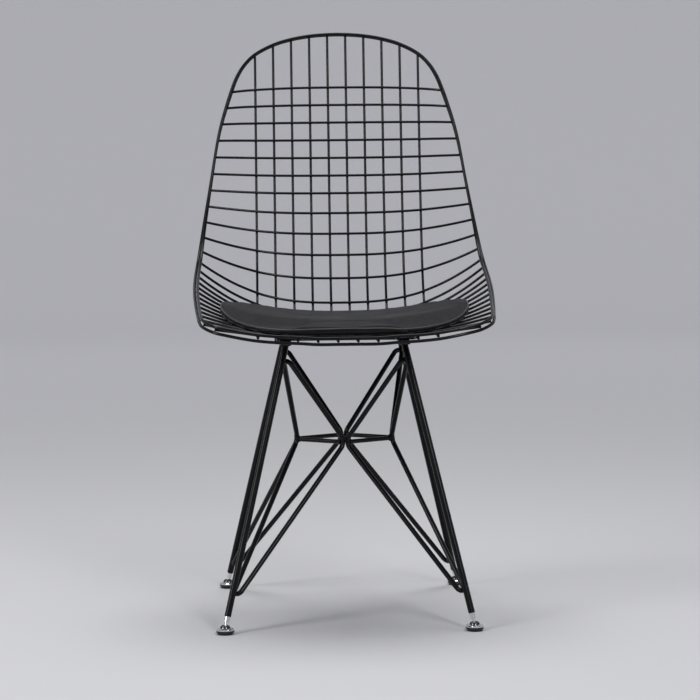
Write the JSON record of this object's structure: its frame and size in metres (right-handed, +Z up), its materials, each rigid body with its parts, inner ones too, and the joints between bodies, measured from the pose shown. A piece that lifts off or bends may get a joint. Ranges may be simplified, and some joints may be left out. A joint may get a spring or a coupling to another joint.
{
  "type": "wire mesh side chair",
  "caption": "Armless dining chair with a welded wire mesh shell, a thin seat pad and a crossed rod base on swivel glides.",
  "frame": {"origin": "on the floor, midway between the feet", "axes": "+Z up, the chair's front toward -Y, +X to the right as seen from in front"},
  "size_m": [0.44, 0.4915, 0.8524],
  "materials": {
    "black_metal": "satin powder coat",
    "pad_cover": "satin",
    "strap": "woven",
    "glide_chrome": "polished",
    "liner": "matte",
    "sole": "matte",
    "screw_steel": "satin"
  },
  "bodies": {
    "chair": {"back_cross_wires_1": "black_metal", "back_cross_wires_2": "black_metal", "back_cross_wires_3": "black_metal", "back_cross_wires_4": "black_metal", "back_cross_wires_5": "black_metal", "back_cross_wires_6": "black_metal", "crossing_ties": "black_metal", "front_brace_at_front_left_leg": "black_metal", "front_brace_at_front_right_leg": "black_metal", "front_left_leg": "black_metal", "front_mount_bar": "black_metal", "front_right_leg": "black_metal", "glide_studs": "glide_chrome", "inner_rim_wire": "black_metal", "left_brace_at_front_left_leg": "black_metal", "left_brace_at_rear_left_leg": "black_metal", "left_side_rail": "black_metal", "lengthwise_wires_1": "black_metal", "lengthwise_wires_2": "black_metal", "lengthwise_wires_3": "black_metal", "lengthwise_wires_4": "black_metal", "lengthwise_wires_5": "black_metal", "mount_nuts": "screw_steel", "mount_screws": "screw_steel", "mount_washers": "screw_steel", "outer_rim_wire": "black_metal", "pad_straps": "strap", "rear_brace_at_rear_left_leg": "black_metal", "rear_brace_at_rear_right_leg": "black_metal", "rear_left_leg": "black_metal", "rear_mount_bar": "black_metal", "rear_right_leg": "black_metal", "right_brace_at_front_right_leg": "black_metal", "right_brace_at_rear_right_leg": "black_metal", "right_side_rail": "black_metal", "seat_cross_wires_10": "black_metal", "seat_cross_wires_11": "black_metal", "seat_cross_wires_12": "black_metal", "seat_cross_wires_13": "black_metal", "seat_cross_wires_7": "black_metal", "seat_cross_wires_8": "black_metal", "seat_cross_wires_9": "black_metal", "seat_pad": "pad_cover"},
    "front_left_liner": {"front_left_glide_liner": "liner"},
    "front_left_foot": {"front_left_glide_cup": "glide_chrome", "front_left_glide_sole": "sole"},
    "front_right_liner": {"front_right_glide_liner": "liner"},
    "front_right_foot": {"front_right_glide_cup": "glide_chrome", "front_right_glide_sole": "sole"},
    "rear_left_liner": {"rear_left_glide_liner": "liner"},
    "rear_left_foot": {"rear_left_glide_cup": "glide_chrome", "rear_left_glide_sole": "sole"},
    "rear_right_liner": {"rear_right_glide_liner": "liner"},
    "rear_right_foot": {"rear_right_glide_cup": "glide_chrome", "rear_right_glide_sole": "sole"}
  },
  "joints": [
    {"name": "front_left_glide_swivel", "type": "hinge", "parent": "chair", "child": "front_left_liner", "pos_m": [-0.1765, -0.1925, 0.009], "axis": [0, 0, 1], "continuous": true},
    {"name": "front_left_glide_tilt", "type": "hinge", "parent": "front_left_liner", "child": "front_left_foot", "pos_m": [-0.1765, -0.1925, 0.009], "axis": [1, 0, 0], "range_deg": [-6, 6]},
    {"name": "front_right_glide_swivel", "type": "hinge", "parent": "chair", "child": "front_right_liner", "pos_m": [0.1765, -0.1925, 0.009], "axis": [0, 0, 1], "continuous": true},
    {"name": "front_right_glide_tilt", "type": "hinge", "parent": "front_right_liner", "child": "front_right_foot", "pos_m": [0.1765, -0.1925, 0.009], "axis": [1, 0, 0], "range_deg": [-6, 6]},
    {"name": "rear_left_glide_swivel", "type": "hinge", "parent": "chair", "child": "rear_left_liner", "pos_m": [-0.1765, 0.1925, 0.009], "axis": [0, 0, 1], "continuous": true},
    {"name": "rear_left_glide_tilt", "type": "hinge", "parent": "rear_left_liner", "child": "rear_left_foot", "pos_m": [-0.1765, 0.1925, 0.009], "axis": [1, 0, 0], "range_deg": [-6, 6]},
    {"name": "rear_right_glide_swivel", "type": "hinge", "parent": "chair", "child": "rear_right_liner", "pos_m": [0.1765, 0.1925, 0.009], "axis": [0, 0, 1], "continuous": true},
    {"name": "rear_right_glide_tilt", "type": "hinge", "parent": "rear_right_liner", "child": "rear_right_foot", "pos_m": [0.1765, 0.1925, 0.009], "axis": [1, 0, 0], "range_deg": [-6, 6]}
  ]
}
